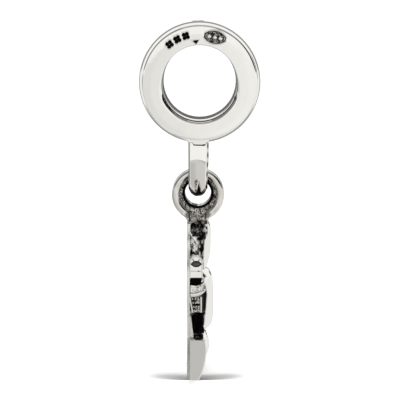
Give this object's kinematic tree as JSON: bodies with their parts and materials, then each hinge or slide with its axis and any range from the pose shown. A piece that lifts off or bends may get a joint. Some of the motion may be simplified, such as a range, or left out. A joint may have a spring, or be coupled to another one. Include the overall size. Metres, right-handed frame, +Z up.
{
  "type": "dangle charm",
  "caption": "Barrel bead that slides on a bracelet, with a wire loop under it from which a cast leaf-and-flower pendant swings.",
  "frame": {"origin": "centre of the bead's bore, halfway along it", "axes": "+Y along the bracelet, +Z up, +X towards the side that the pendant's relief faces"},
  "size_m": [0.0074, 0.0094, 0.022],
  "materials": {
    "polished_silver": "polished sterling silver",
    "oxidised_silver": "cast sterling silver, polished on the high places, blackened in the recesses"
  },
  "bodies": {
    "bead": {"carrier_bead": "polished_silver"},
    "pendant": {"pendant": "oxidised_silver"}
  },
  "joints": [
    {"name": "pendant_swing", "type": "hinge", "parent": "bead", "child": "pendant", "pos_m": [-0.0001, 0, -0.00681], "axis": [0, 1, 0], "range_deg": [-130, 130]}
  ]
}
